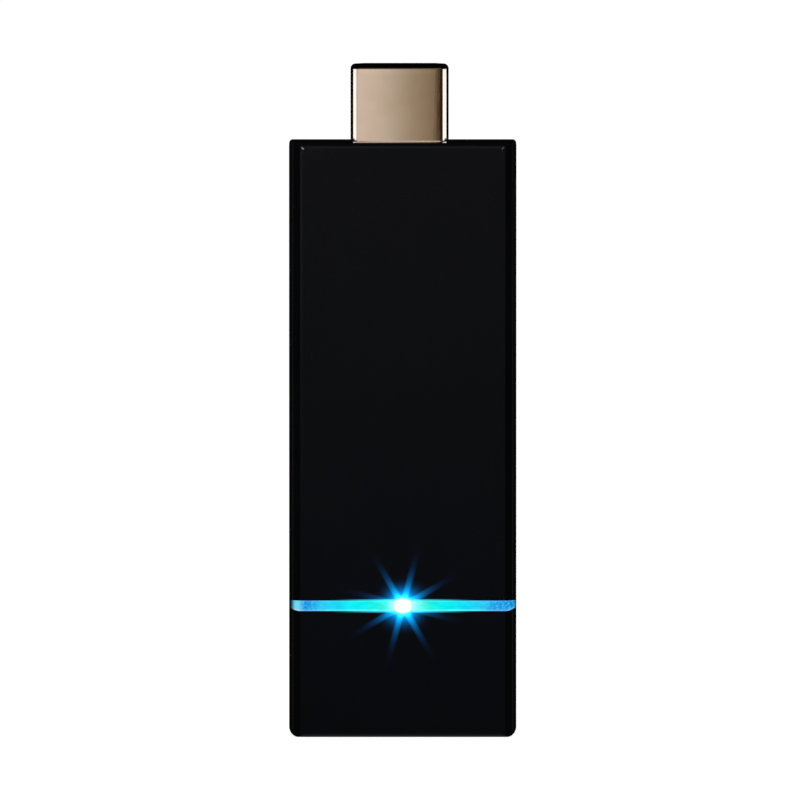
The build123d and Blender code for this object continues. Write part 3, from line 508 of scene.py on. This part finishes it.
# a near card that the polished front mirrors: brighter towards the plug's end
def card_front(g, x, y, z):
    def spot(cx, cz, r):
        dx, dz = g.math("SUBTRACT", x, cx), g.math("SUBTRACT", z, cz)
        return g.ramp(g.math("SQRT", g.total(g.times(dx, dx), g.times(dz, dz))), r, r * 0.6)

    face = g.ramp(z, -10.0, 84.0, 0.038, 0.110, smooth=False)
    dots = g.total(g.times(spot(-20.2, 85.3, 2.3), 17.0), g.times(spot(20.2, 85.3, 2.3), 2.7))
    foot = g.times(g.box(z, 86.4, 87.2, 90.4, 91.2), g.ramp(g.math("ABSOLUTE", x), 7.2, 6.0), 1.3)   # lights the plug's foot by way of the top face
    tone = g.new("MixRGB")
    g.put(tone.inputs["Fac"], g.ramp(z, 10.0, 80.0, smooth=False))
    g.put(tone.inputs["Color1"], (0.84, 0.96, 1.30, 1.0))
    g.put(tone.inputs["Color2"], (0.97, 0.96, 1.10, 1.0))
    rim = g.times(g.ramp(x, -26.0, -29.0), g.ramp(z, 25.0, 84.0), 0.085)      # a paler line down the left bevel, fading towards the bottom
    return g.total(face, dots, foot, rim), tone.outputs["Color"]


area("card_front", (0.0, -0.0655, 0.040), (0.0, 0.0, 0.040), 0.074, 1.0, size_y=0.110, only=["front_shell"], nodes=card_front)


# a near card for the plated plug: bright at the left, warmer and dimmer to the right, then dark; beyond it a white panel at
# each side, which only the plug's rounded edges mirror
def card_plug(g, x, y, z):
    ramp = g.new("ValToRGB")
    g.put(ramp.inputs["Fac"], g.ramp(x, -28.5, 25.5, smooth=False))
    cr = ramp.color_ramp
    stops = [(-28.5, (0.60, 0.63, 0.72)), (-7.0, (0.78, 0.80, 0.90)), (-3.3, (0.66, 0.68, 0.74)), (1.2, (0.40, 0.39, 0.36)),
             (4.55, (0.27, 0.24, 0.20)), (5.15, (0.034, 0.021, 0.008)), (25.5, (0.034, 0.021, 0.008))]
    while len(cr.elements) < len(stops):
        cr.elements.new(0.5)
    for e, (p, c) in zip(cr.elements, stops):
        e.position, e.color = (p + 28.5) / 54.0, (*c, 1.0)
    edge = g.times(g.ramp(z, 92.1, 93.0), g.ramp(g.math("ABSOLUTE", x), 7.5, 6.5), 0.11)      # a paler line along the tip
    return g.total(1.0, edge), ramp.outputs["Color"]


PLUG = ["plug_shell"]
area("card_plug", (-0.0015, -0.0322, 0.0825), (-0.0015, 0.0, 0.0825), 0.054, 1.0, size_y=0.0240, only=PLUG, nodes=card_plug)
area("panel_plug_left", (-0.075, -0.0515, 0.0765), (0.0, -0.0515, 0.0765), 0.087, 1.3, (1.0, 1.24, 1.62), 0.033, only=PLUG)
area("panel_plug_right", (0.075, -0.0490, 0.0765), (0.0, -0.0490, 0.0765), 0.102, 1.3, (1.0, 1.24, 1.62), 0.033, only=PLUG)

# ---------------------------------------------------------------- the camera's own flare round the diode
scene.use_nodes = True
ct = scene.node_tree
ct.nodes.clear()
layers = ct.nodes.new("CompositorNodeRLayers")
image = layers.outputs["Image"]


def flare(kind, tint, **inputs):
    global image
    n = ct.nodes.new("CompositorNodeGlare")
    n.glare_type, n.quality = kind, "HIGH"
    for k, v in {"Smoothness": 0.0, "Saturation": 1.0, **inputs}.items():
        n.inputs[k].default_value = v
    n.inputs["Tint"].default_value = (*tint, 1.0)
    ct.links.new(image, n.inputs["Image"])
    image = n.outputs["Image"]


def star(tint, strength, fade, threshold, iterations=3):
    flare("STREAKS", tint, **{"Threshold": threshold, "Strength": strength, "Fade": fade, "Iterations": iterations, "Streaks": 8,
                              "Streaks Angle": math.radians(30.0), "Color Modulation": 0.0})


star((0.0, 0.0, 1.0), 0.95, 0.88, 12.0)                                               # long rays, green fading before blue
star((0.0, 1.0, 0.0), 0.38, 0.865, 12.0)
flare("BLOOM", (0.26, 0.62, 0.64), **{"Threshold": 3.0, "Strength": 0.58, "Size": 0.01})    # the round white disc
flare("BLOOM", (0.0, 0.40, 1.0), **{"Threshold": 3.0, "Strength": 2.0, "Size": 0.034})   # the glow that fills between the rays
final = ct.nodes.new("CompositorNodeComposite")
ct.links.new(image, final.inputs["Image"])
